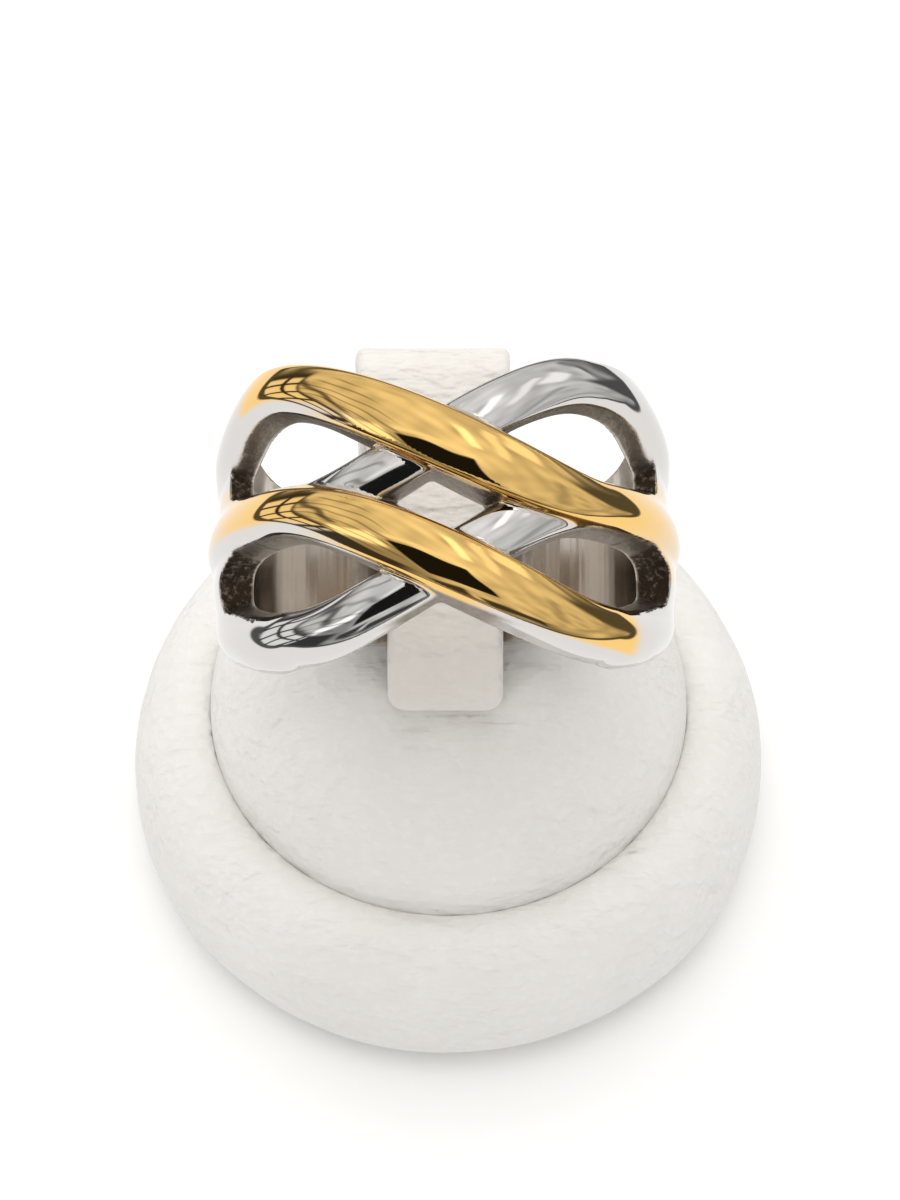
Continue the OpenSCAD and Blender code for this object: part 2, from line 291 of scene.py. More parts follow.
def surface_net(field, angles, alongs, radii):
    """Quads of the field's zero surface on a grid that goes once round the finger."""
    n, m, l = len(angles), len(alongs), len(radii)
    value = np.empty((n, m, l), np.float32)
    for i in range(0, n, 40):
        block = angles[i:i + 40]
        value[i:i + 40] = field(block[:, None, None], alongs[None, :, None], radii[None, None, :])
    inside = value < 0
    wrap = lambda a: np.concatenate([a, a[:1]], 0)
    v, s = wrap(value), wrap(inside)
    total = np.zeros((n, m - 1, l - 1, 3))
    count = np.zeros((n, m - 1, l - 1))
    corners = [(i, j, k) for i in (0, 1) for j in (0, 1) for k in (0, 1)]
    pick = lambda a, c: a[c[0]:c[0] + n, c[1]:c[1] + m - 1, c[2]:c[2] + l - 1]
    for a in corners:
        for axis in range(3):
            if a[axis]:
                continue
            b = tuple(1 if i == axis else a[i] for i in range(3))
            va, vb = pick(v, a), pick(v, b)
            cross = pick(s, a) != pick(s, b)
            t = np.where(cross, va / np.where(cross, va - vb, 1), 0)
            for i in range(3):
                total[..., i] += np.where(cross, a[i] + (t if i == axis else 0), 0)
            count += cross
    cells = count > 0
    number = np.full(cells.shape, -1)
    number[cells] = np.arange(cells.sum())
    local = total[cells] / count[cells][:, None]
    ci, cj, ck = np.nonzero(cells)
    steps = np.diff(np.append(angles, angles[0] + 360))
    at = np.stack([
        angles[ci] + local[:, 0] * steps[ci],
        alongs[cj] + local[:, 1] * (alongs[1] - alongs[0]),
        radii[ck] + local[:, 2] * (radii[1] - radii[0]),
    ], 1)
    quads = []
    around = np.roll(number, 1, 0)
    c = s[:n, 1:-1, 1:-1] != s[1:n + 1, 1:-1, 1:-1]
    up = s[:n, 1:-1, 1:-1]
    q = np.stack([number[:, :-1, :-1], number[:, 1:, :-1], number[:, 1:, 1:], number[:, :-1, 1:]], -1)
    quads += [q[c & up], q[c & ~up][:, ::-1]]
    c = s[:n, :-1, 1:-1] != s[:n, 1:, 1:-1]
    up = s[:n, :-1, 1:-1]
    q = np.stack([around[:, :, :-1], around[:, :, 1:], number[:, :, 1:], number[:, :, :-1]], -1)
    quads += [q[c & up], q[c & ~up][:, ::-1]]
    c = s[:n, 1:-1, :-1] != s[:n, 1:-1, 1:]
    up = s[:n, 1:-1, :-1]
    q = np.stack([around[:, :-1, :], number[:, :-1, :], number[:, 1:, :], around[:, 1:, :]], -1)
    quads += [q[c & up], q[c & ~up][:, ::-1]]
    return at, np.concatenate(quads)


def ring_points(at):
    """Points of the ring's own frame from angle, place along the finger and radius."""
    turn = np.radians(at[:, 0])
    return np.stack([at[:, 2] * np.sin(turn), at[:, 1], at[:, 2] * np.cos(turn)], 1)


def gradient(p, h=0.012):
    """How the ring's distance changes with x, y and z."""
    out = np.empty_like(p)
    for i in range(3):
        step = np.zeros(3)
        step[i] = h
        rise = ring_distance(*to_polar(p + step)) - ring_distance(*to_polar(p - step))
        out[:, i] = rise / (2 * h)
    return out


def place_ring(p):
    """Points of the ring's own frame in the row frame, in metres."""
    cl, sl, ct, st = math.cos(LEAN), math.sin(LEAN), math.cos(TURN), math.sin(TURN)
    lean = np.array([[1, 0, 0], [0, cl, -sl], [0, sl, cl]])
    turn = np.array([[ct, -st, 0], [st, ct, 0], [0, 0, 1]])
    return (p @ (turn @ lean).T + CENTRE) * MM


def mesh_object(name, points, faces, smooth=True):
    """An object from points in metres."""
    mesh = bpy.data.meshes.new(name)
    mesh.from_pydata(points.tolist(), [], faces.tolist())
    mesh.validate()
    mesh.update()
    if smooth:
        mesh.polygons.foreach_set("use_smooth", [True] * len(mesh.polygons))
    ob = bpy.data.objects.new(name, mesh)
    bpy.context.scene.collection.objects.link(ob)
    return ob


def add_attribute(mesh, name, values):
    attribute = mesh.attributes.new(name, "FLOAT", "POINT")
    attribute.data.foreach_set("value", values.astype(np.float32))


def build_ring():
    """The ring's surface, with attributes that say where it is plated, where the openings' walls and blunt
    ends are, and where the bore is.
    """
    fine = 0.65
    cell = 0.125
    angles = np.concatenate([np.arange(-112, 112, fine), np.arange(112, 248, 2 * fine)])
    alongs = np.arange(-7.2, 7.2, cell)
    radii = np.arange(8.3, 11.8, cell)

    def field(angle, along, radius):
        return ring_distance((angle + 180) % 360 - 180, along, radius)

    at, quads = surface_net(field, angles, alongs, radii)
    p = ring_points(at)
    for _ in range(3):
        g = gradient(p)
        f = ring_distance(*to_polar(p))
        move = -(f / np.maximum((g * g).sum(1), 0.2))[:, None] * g
        far = np.linalg.norm(move, axis=1, keepdims=True)
        p = p + move * np.minimum(1, 0.06 / np.maximum(far, 1e-9))
    normals = gradient(p)
    normals /= np.linalg.norm(normals, axis=1, keepdims=True)
    ob = mesh_object("ring_metal", place_ring(p), quads)
    world_normals = place_ring(normals) / MM - CENTRE
    angle, along, radius = to_polar(p)
    _, found, opening = ring_distance(angle, along, radius, details=True)
    f = np.stack([x[0] for x in found])
    share = np.exp(-(f - f.min(0)) / 0.05)
    share /= share.sum(0)
    near = f.argmin(0)
    across = np.take_along_axis(np.stack([x[1] for x in found]), near[None], 0)[0]
    radial = (normals * p).sum(1) / radius - normals[:, 1] * p[:, 1] / radius
    tilt = -normals[:, 1]
    # the bore, which the material makes darker and browner
    inside = band(FINGER_R + 0.1 - radius, -0.05, 0.02)
    # gold on the first two strands, fading over their roots and flanks
    halo = 1 - band(-across, 0.36, 0.56) * (1 - band(angle, -40, -14))
    halo = (1 - band(tilt, 0.72, 0.84)) * halo
    first = share[0] * band(angle, -62, -56) * (1 - band(angle, 84, 100))
    first = first * np.where(angle < -10, halo + (1 - halo) * band(angle, -28, -12), 1)
    second = share[1] * (1 - band(angle, 50, 56)) * band(angle, -100, -90)
    left = halo * (1 - band(-across, 0.2, 0.6) * (1 - band(angle, -60, -48)))
    second = second * np.where(angle < -10, left + (1 - left) * band(angle, -28, -12), 1)
    second = second * (1 - band(tilt, 0.66, 0.78) * band(angle, 2, 14))
    gold = (first + second) * (1 - 0.08 * band(np.abs(angle), 49, 57))
    # the openings' blunt ends, which the material darkens with painted shade
    blunt = band(f.min(0), 0.0, 0.1) * (1 - band(np.abs(opening), 0.05, 0.14))
    blunt = blunt * (1 - band(np.abs(radial), 0.4, 0.65)) * (1 - inside)
    # the openings' walls, which the material darkens with painted shade
    upright = 1 - band(np.abs(radial), 0.25, 0.5)
    in_band = 1 - band(np.abs(along), 5.1, 5.7)
    low = band(10.45 - radius, 0.0, 0.35)
    wall = upright * (1 - inside) * low * in_band * (1 - band(np.abs(angle), 92, 96))
    add_attribute(ob.data, "gold", np.clip(gold, 0, 1))
    add_attribute(ob.data, "wall", np.clip(wall, 0, 1))
    add_attribute(ob.data, "inside", inside)
    add_attribute(ob.data, "blunt", blunt)
    ob.data.normals_split_custom_set_from_vertices(world_normals.tolist())
    return ob


# The stand's sizes in millimetres, as in the part's source
BASE_D = 31.6
BASE_H = 8.9
BELLY_Z = 2.9
CREASE_D = 23.4
CREASE_Z = 8.55
CREASE_DEPTH = 0.35
RIM_W = 1.1
SEAT_Z = CREASE_Z - 1.6
DOME_H = 8.8
EDGE_R = CREASE_D / 2 - 0.12
CLIP_T = 1.1
CLIP_TIP_W = 5.4
CLIP_TOP_W = 7.4
TIP_CORNER = 0.8
TIP_STRAIGHT = 3.0
CLIP_BACK = 9.3
CLIP_FRONT = 6.2
TIP_DROOP = 1.3
CLIP_LEFT = 0.15
CLIP_SKEW = 0.6
BEND_R = 1.3
SLIT_DEPTH = 2.5
# Faces round the base and the dome
TURNS = 480


def waves(p, length, seed, count=14):
    """Soft lumps between about -1 and 1 from waves of about the given length in millimetres."""
    random = np.random.default_rng(seed)
    total = np.zeros(len(p))
    for _ in range(count):
        way = random.normal(size=3)
        way *= 2 * math.pi / length / np.linalg.norm(way) * random.uniform(0.6, 1.5)
        total += np.sin(p @ way + random.uniform(0, 6.28))
    return total / math.sqrt(count * 2)


def revolved(profile, turns):
    """Closed surface of a profile [r, z] that starts and ends on the axis."""
    around = np.arange(turns) * 2 * math.pi / turns
    body = profile[1:-1]
    circle = np.stack([np.cos(around), np.sin(around)], 1)
    flat, high = body[:, None, :1] * circle[None], np.repeat(body[:, None, 1:], turns, 1)
    ends = [[0, 0, profile[0][1]], [0, 0, profile[-1][1]]]
    points = np.concatenate([np.concatenate([flat, high], 2).reshape(-1, 3), ends])
    i = np.arange(len(body) - 1)[:, None] * turns
    j = np.arange(turns)[None]
    k = (j + 1) % turns
    quads = np.stack([i + j, i + k, i + turns + k, i + turns + j], -1).reshape(-1, 4)
    n = len(body) * turns
    top = np.stack([np.full(turns, n), k[0], j[0]], 1)
    end = (len(body) - 1) * turns
    bottom = np.stack([np.full(turns, n + 1), end + j[0], end + k[0]], 1)
    return points, quads.tolist() + top.tolist() + bottom.tolist()


def leather_object(name, points, faces):
    """A smooth object from points in millimetres."""
    mesh = bpy.data.meshes.new(name)
    mesh.from_pydata((points * MM).tolist(), [], faces)
    mesh.update()
    mesh.polygons.foreach_set("use_smooth", [True] * len(mesh.polygons))
    ob = bpy.data.objects.new(name, mesh)
    bpy.context.scene.collection.objects.link(ob)
    return ob


def arc(centre, reach, start, end, count):
    """Points [r, z] on part of an ellipse, by angles in degrees."""
    a = np.radians(np.linspace(start, end, count))
    return np.stack([centre[0] + reach[0] * np.cos(a), centre[1] + reach[1] * np.sin(a)], 1)


def build_base():
    """The base: a flat seat inside a rounded rim, with soft lumps in the leather."""
    rim = CREASE_D / 2
    top_r = rim + RIM_W
    reach = BASE_D / 2 - top_r
    low = BELLY_Z / math.sin(math.radians(60))
    profile = np.concatenate([
        [[0, SEAT_Z], [rim * 0.5, SEAT_Z], [rim - 0.3, SEAT_Z], [rim, SEAT_Z + 0.1]],
        [[rim, z] for z in np.linspace(SEAT_Z + 0.4, CREASE_Z - 0.1, 5)],
        arc((top_r, CREASE_Z), (RIM_W, CREASE_DEPTH), 180, 95, 14),
        arc((top_r, BELLY_Z), (reach, BASE_H - BELLY_Z), 90, 0, 70),
        arc((top_r, BELLY_Z), (reach, low), -3, -57, 18),
        [[top_r + reach * 0.47, 0.03], [top_r + reach * 0.42, 0], [rim, 0], [rim * 0.5, 0], [0, 0]],
    ])
    points, faces = revolved(profile, TURNS)
    r = np.hypot(points[:, 0], points[:, 1])
    free = band(points[:, 2], 0.1, 1.6) * band(r, rim, rim + 1.5)
    away = np.maximum(r, 1)
    out = [points[:, 0] / away, points[:, 1] / away, 0.4 * band(points[:, 2], 3, 8)]
    out = np.stack(out, 1)
    lumps = 0.045 * waves(points, 9, 3) + 0.02 * waves(points, 3.2, 4) - 0.05
    points += out * (np.minimum(lumps, 0) * free)[:, None]
    return leather_object("stand_base_leather", points, faces)


def from_ring(p):
    """A point [along the finger, height] of the ring's middle plane as [y, z] of the stand."""
    return [
        CENTRE[1] + p[0] * math.cos(LEAN) - p[1] * math.sin(LEAN),
        CENTRE[2] + p[0] * math.sin(LEAN) + p[1] * math.cos(LEAN),
    ]


def dome_at(r):
    """Height of the dome at a distance from its axis."""
    return CREASE_Z + DOME_H * math.sqrt(max(0, 1 - (2 * r / CREASE_D) ** 2))


def clip_line():
    """Middle line of the clip as [y, z], from its tip to its end in the dome."""
    height = math.sqrt(FINGER_R ** 2 - (CLIP_TOP_W / 2) ** 2) - 0.2 - CLIP_T / 2
    points = []
    for t in np.linspace(0, 1, 24):
        u = 1 - t
        points.append(from_ring([-CLIP_FRONT * u - 2.2 * t, -height - TIP_DROOP * u * u]))
    start = from_ring([CLIP_BACK, -height])
    front, back = np.array(points[-1]), np.array(start)
    points += [list(front * (1 - t) + back * t) for t in np.linspace(0.04, 0.98, 36)]
    centre = [start[0] + BEND_R * math.sin(LEAN), start[1] - BEND_R * math.cos(LEAN)]
    for a in np.linspace(math.pi / 2 + LEAN, 0, 22):
        points.append([centre[0] + BEND_R * math.cos(a), centre[1] + BEND_R * math.sin(a)])
    back = centre[0] + BEND_R
    end = dome_at(back) - SLIT_DEPTH
    points += [[back, z] for z in np.linspace(centre[1] - 0.2, end, 40)]
    return np.array(points)


def build_clip():
    """The clip: a strip with round edges along its middle line, and dents in its top."""
    line = clip_line()
    walk = np.concatenate([[0], np.cumsum(np.linalg.norm(np.diff(line, axis=0), axis=1))])
    near_tip = 0.9 * (1 - np.cos(np.linspace(0, math.pi / 2, 16)))
    near_end = walk[-1] - 0.3 * np.cos(np.linspace(0.2, math.pi / 2, 7))
    at = np.concatenate([near_tip, np.arange(1.0, walk[-1] - 0.35, 0.11), near_end])
    y, z = np.interp(at, walk, line[:, 0]), np.interp(at, walk, line[:, 1])
    ahead, behind = at + 0.15, np.maximum(at - 0.15, 0)
    ty = np.interp(ahead, walk, line[:, 0]) - np.interp(behind, walk, line[:, 0])
    tz = np.interp(ahead, walk, line[:, 1]) - np.interp(behind, walk, line[:, 1])
    size = np.hypot(ty, tz)
    ny, nz = -tz / size, ty / size
    share = np.clip((y - y[0] - TIP_STRAIGHT) / (y.max() - y[0] - TIP_STRAIGHT), 0, 1)
    half = CLIP_TIP_W / 2 + (CLIP_TOP_W - CLIP_TIP_W) / 2 * share
    middle = -CLIP_LEFT - CLIP_SKEW * share
    e = np.clip(TIP_CORNER - at, 0, TIP_CORNER)
    half -= TIP_CORNER - np.sqrt(TIP_CORNER ** 2 - e ** 2)
    edge = 0.42
    e = np.clip(edge - at, 0, edge * 0.995)
    thick = CLIP_T / 2 - edge + np.sqrt(edge ** 2 - e ** 2)
    e = np.clip(0.3 - (walk[-1] - at), 0, 0.29)
    thick = np.minimum(thick, CLIP_T / 2 - 0.3 + np.sqrt(0.09 - e ** 2))
    # the section: flat top and bottom with full round edges, as points [across, up]
    flat = 26
    turn = np.radians(np.linspace(90, -90, 13))
    section = np.concatenate([
        np.stack([np.linspace(-1, 1, flat), np.ones(flat)], 1),
        np.stack([1 + 0 * turn[1:-1], np.sin(turn[1:-1])], 1),
        np.stack([np.linspace(1, -1, flat), -np.ones(flat)], 1),
        np.stack([-1 + 0 * turn[1:-1], -np.sin(turn[1:-1])], 1),
    ])
    bulge = np.concatenate([
        np.zeros(flat), np.cos(turn[1:-1]), np.zeros(flat), -np.cos(turn[1:-1])
    ])
    rows = []
    for i in range(len(at)):
        r = min(edge, thick[i])
        across = section[:, 0] * (half[i] - r) + bulge * r
        up = section[:, 1] * thick[i]
        rows.append(np.stack([middle[i] + across, y[i] + ny[i] * up, z[i] + nz[i] * up], 1))
    points = np.array(rows)
    n, m = points.shape[:2]
    flatten = points.reshape(-1, 3)
    i = np.arange(n - 1)[:, None] * m
    j = np.arange(m)[None]
    k = (j + 1) % m
    quads = np.stack([i + j, i + m + j, i + m + k, i + k], -1).reshape(-1, 4)
    faces = quads.tolist() + [list(range(m)), [(n - 1) * m + v for v in range(m - 1, -1, -1)]]
    top = np.tile(section[:, 1] > 0.5, n)
    inner = np.tile(1 - np.abs(section[:, 0]) ** 6, n)
    lumps = 0.03 * waves(flatten * np.array([1, 0.8, 1]), 3.2, 8) - 0.03
    flatten[:, 2] += np.minimum(lumps, 0) * top * inner * np.repeat(band(at, 0.2, 1.5), m)
    return leather_object("clip_leather", flatten, faces)


def pressed_height(x, y):
    """Height of the leather that the shank presses down, for points under the ring."""
    low, high = np.full(len(x), 5.0), np.full(len(x), CENTRE[2] - 2.5)
    c, s = math.cos(LEAN), math.sin(LEAN)
    for _ in range(26):
        z = (low + high) / 2
        dy, dz = y - CENTRE[1], z - CENTRE[2]
        along = np.abs(dy * c + dz * s)
        radial = np.hypot(x - CENTRE[0], -dy * s + dz * c)
        limit = SHANK_R + 0.14 - 0.16 * np.maximum(along - 2.3, 0) ** 2
        outside = radial > limit
        low, high = np.where(outside, z, low), np.where(outside, high, z)
    return low


def build_dome():
    """The dome: soft lumps, a dent under the ring, and room and a slit for the clip."""
    a = np.radians(np.concatenate([np.linspace(0, 60, 110), np.linspace(60, 89.4, 64)[1:]]))
    profile = np.concatenate([
        [[0, SEAT_Z], [EDGE_R * 0.5, SEAT_Z], [EDGE_R - 0.25, SEAT_Z]],
        [[EDGE_R, SEAT_Z + 0.2], [EDGE_R, CREASE_Z - 0.6]],
        np.stack([(EDGE_R + 0.13) * np.cos(a), CREASE_Z + DOME_H * np.sin(a)], 1),
        [[0, CREASE_Z + DOME_H]],
    ])
    points, faces = revolved(profile, TURNS)
    faces = [f[::-1] for f in faces]
    x, y, z = points.T
    r = np.hypot(x, y)
    free = band(z, CREASE_Z, CREASE_Z + 2.5)
    lumps = 0.05 * waves(points, 7, 11) + 0.022 * waves(points, 2.6, 12) - 0.04
    z = z + np.minimum(lumps, 0) * free
    # the shank presses the leather in
    under = (z > CREASE_Z + 1) & (np.abs(y - CENTRE[1]) < 9) & (np.abs(x) < 9)
    pressed = np.full(len(z), 99.0)
    pressed[under] = pressed_height(x[under], y[under])
    h = np.maximum(0.9 - np.abs(z - pressed), 0) / 0.9
    z = np.where(under, np.minimum(z, pressed) - h * h * 0.9 / 4, z)
    # room for the clip: under its tongue, and the slit that it goes into
    line = clip_line()
    walk = line[:, 1]
    tongue = np.interp(y, line[:60, 0], walk[:60], left=99, right=99) - CLIP_T / 2 - 0.12
    beside = np.maximum(np.abs(x + CLIP_LEFT) - 3.6, 0)
    tongue = tongue + beside * 2
    z = np.minimum(z, tongue)
    back = line[-1, 0]
    half = CLIP_TOP_W / 2 + 0.15
    dx = np.maximum(np.abs(x + CLIP_LEFT + CLIP_SKEW) - half, 0)
    dy = np.maximum(np.abs(y - back) - CLIP_T / 2 - 0.12, 0)
    away = np.hypot(dx, dy)
    pit = line[-1, 1] - 0.1
    sink = 1 - band(away, 0.0, 0.22)
    lip = np.exp(-(away / 0.8) ** 2) * 0.25
    upper = points[:, 2] > CREASE_Z - 0.3
    z = np.where(upper & (z > pit), z - lip - np.maximum(z - lip - pit, 0) * sink, z)
    points = np.stack([x, y, z], 1)
    return leather_object("stand_dome_leather", points, faces)


# Materials


class Nodes:
    """Short calls for building a node tree."""

    def __init__(self, name=None, world=None):
        if world is None:
            self.owner = bpy.data.materials.new(name)
            self.owner.use_nodes = True
            self.tree = self.owner.node_tree
            self.shader = self.tree.nodes["Principled BSDF"]
        else:
            self.tree = world.node_tree

    def node(self, kind, **values):
        made = self.tree.nodes.new(kind)
        for key, value in values.items():
            setattr(made, key, value)
        return made

    def put(self, value, socket):
        if isinstance(value, bpy.types.NodeSocket):
            self.tree.links.new(value, socket)
        else:
            socket.default_value = value

    def math(self, operation, a, b=0.0, c=0.0):
        made = self.node("ShaderNodeMath", operation=operation)
        for i, value in enumerate((a, b, c)):
            self.put(value, made.inputs[i])
        return made.outputs[0]

    def range(self, value, low, high, to_low=0.0, to_high=1.0):
        made = self.node("ShaderNodeMapRange", interpolation_type="SMOOTHSTEP")
        for i, v in enumerate((value, low, high, to_low, to_high)):
            self.put(v, made.inputs[i])
        return made.outputs[0]

    def mix(self, share, a, b):
        made = self.node("ShaderNodeMix", data_type="RGBA")
        self.put(share, made.inputs[0])
        self.put(a, made.inputs[6])
        self.put(b, made.inputs[7])
        return made.outputs[2]

    def attribute(self, name):
        return self.node("ShaderNodeAttribute", attribute_name=name).outputs["Fac"]

    def place(self, scale=(1, 1, 1), turn=(0, 0, 0)):
        texture = self.node("ShaderNodeTexCoord")
        mapping = self.node("ShaderNodeMapping")
        mapping.inputs["Scale"].default_value = scale
        mapping.inputs["Rotation"].default_value = turn
        self.tree.links.new(texture.outputs["Object"], mapping.inputs["Vector"])
        return mapping.outputs[0]

    def noise(self, vector, scale, detail=2.0, rough=0.5):
        made = self.node("ShaderNodeTexNoise")
        self.put(vector, made.inputs["Vector"])
        made.inputs["Scale"].default_value = scale
        made.inputs["Detail"].default_value = detail
        made.inputs["Roughness"].default_value = rough
        return made.outputs["Fac"]

    def cells(self, vector, scale):
        made = self.node("ShaderNodeTexVoronoi", feature="SMOOTH_F1")
        self.put(vector, made.inputs["Vector"])
        made.inputs["Scale"].default_value = scale
        return made.outputs["Distance"]

    def bump(self, height, distance, strength=1.0, normal=None):
        made = self.node("ShaderNodeBump")
        made.inputs["Distance"].default_value = distance
        self.put(strength, made.inputs["Strength"])
        self.put(height, made.inputs["Height"])
        if normal is not None:
            self.put(normal, made.inputs["Normal"])
        return made.outputs[0]


def metal_material():
    """Polished gold and silver plating, with painted shade on the openings' rough walls and blunt ends, and
    a darker, browner inside.
    """
    m = Nodes("two_tone_metal")
    gold, wall, inside, blunt = map(m.attribute, ("gold", "wall", "inside", "blunt"))
    grain = m.noise(m.place(), 2600, 3, 0.6)
    streak = m.noise(m.place((1, 0.02, 0.02)), 520, 3, 0.6)
    plated = m.mix(gold, (0.68, 0.665, 0.65, 1), (0.90, 0.585, 0.20, 1))
    # painted shade: the openings' rough walls are much darker than the plating, mottled by the grain
    shaded_wall = m.mix(grain, (0.16, 0.13, 0.10, 1), (0.42, 0.37, 0.32, 1))
    # darker and browner inside the bore
    plated_darker_inside = m.mix(m.math("MULTIPLY", inside, 0.7), plated, (0.57, 0.50, 0.425, 1))
    speck = m.range(m.noise(m.place(), 3300, 3, 0.7), 0.46, 0.76)
    # painted shade: the openings' blunt ends are nearly black, mottled lighter
    shaded_blunt_end = m.mix(speck, (0.08, 0.058, 0.042, 1), (0.46, 0.39, 0.31, 1))
    colour = m.mix(blunt, m.mix(wall, plated_darker_inside, shaded_wall), shaded_blunt_end)
    m.put(colour, m.shader.inputs["Base Color"])
    m.shader.inputs["Metallic"].default_value = 1.0
    rough = m.math("ADD", m.math("MULTIPLY", wall, 0.4), m.range(gold, 0.0, 0.6, 0.06, 0.035))
    rough = m.math("ADD", rough, m.math("MULTIPLY", inside, 0.1))
    m.put(m.math("ADD", rough, m.math("MULTIPLY", blunt, 0.25)), m.shader.inputs["Roughness"])
    rough_bump = m.bump(grain, 0.00006, m.math("MAXIMUM", wall, blunt))
    m.put(m.bump(streak, 0.00016, inside, rough_bump), m.shader.inputs["Normal"])
    return m.owner


def leather_material(name, colour, shade, fold_turn, fold_size):
    """Soft white leather: fine pebbled grain with painted shade in its hollows, soft waves across it and a
    few broad folds.
    """
    m = Nodes(name)
    at = m.place()
    stir = m.node("ShaderNodeTexNoise")
    m.put(at, stir.inputs["Vector"])
    stir.inputs["Scale"].default_value = 700
    stir.inputs["Detail"].default_value = 3
    push = m.node("ShaderNodeVectorMath", operation="MULTIPLY_ADD")
    m.put(stir.outputs["Color"], push.inputs[0])
    push.inputs[1].default_value = (0.0006, 0.0006, 0.0006)
    m.put(at, push.inputs[2])
    stirred = push.outputs[0]
    grain = m.range(m.cells(stirred, 1900), 0.0, 0.6, 1.0, 0.0)
    fine = m.noise(stirred, 5200, 3, 0.6)
    wave = m.noise(m.place((0.5, 1.5, 1.3), (0, 0, fold_turn)), 1250, 2.5, 0.5)
    patchy = m.range(m.noise(at, 210, 2, 0.5), 0.35, 0.65, 0.35, 1.0)
    folds = m.noise(m.place((0.6, 1.5, 1.2), (0.4, 0.2, fold_turn)), fold_size, 2, 0.5)
    tone = m.mix(m.range(m.noise(at, 140, 3, 0.55), 0.3, 0.7), shade, colour)
    # painted shade in the hollows between the grain's pebbles
    grain_shade = m.math("MULTIPLY", m.math("SUBTRACT", 1, grain), 0.09)
    m.put(m.mix(grain_shade, tone, (0.55, 0.51, 0.45, 1)), m.shader.inputs["Base Color"])
    m.put(m.range(fine, 0.3, 0.7, 0.46, 0.6), m.shader.inputs["Roughness"])
    m.shader.inputs["Specular IOR Level"].default_value = 0.4
    soft = m.bump(folds, 0.0003, 1.0)
    waved = m.bump(wave, 0.0002, patchy, soft)
    pebbled = m.bump(grain, 0.000045, 0.8, waved)
    m.put(m.bump(fine, 0.000016, 0.8, pebbled), m.shader.inputs["Normal"])
    return m.owner


def floor_material():
    """Nearly white matt paper."""
    m = Nodes("studio_floor")
    speck = m.noise(m.place(), 90, 2)
    m.put(m.mix(speck, (0.9, 0.9, 0.895, 1), (0.92, 0.92, 0.918, 1)), m.shader.inputs["Base Color"])
    m.shader.inputs["Roughness"].default_value = 0.8
    m.shader.inputs["Specular IOR Level"].default_value = 0.1
    return m.owner


# Radius of the shell of reflections, and half the width of the floor, in metres
ROOM_R = 2.5
FLOOR_HALF = 1.2

# What the polished metal reflects, in degrees from straight up: left to right, front to back,
# softness of the edges, and brightness
ROOM = (
    (-88, -30, -84, -34, 8, 0.34),
    (-66, -38, -32, -14, 3, 1.5),
    (-30, 4, -14, -8, 3, 1.15),
    (12, 19, 0, 20, 2, 1.7),
    (27, 33, 0, 34, 2, 1.2),
    (36, 50, 22, 42, 3, 1.25),
    (-22, -6, 22, 34, 4, 1.0),
    (-62, -56, -8, 60, 2, 0.18),
    (-76, -70, -20, 60, 2, 0.12),
    (30, 84, 62, 72, 3, 0.3),
    (55, 62, -50, 8, 4, 0.45),
)


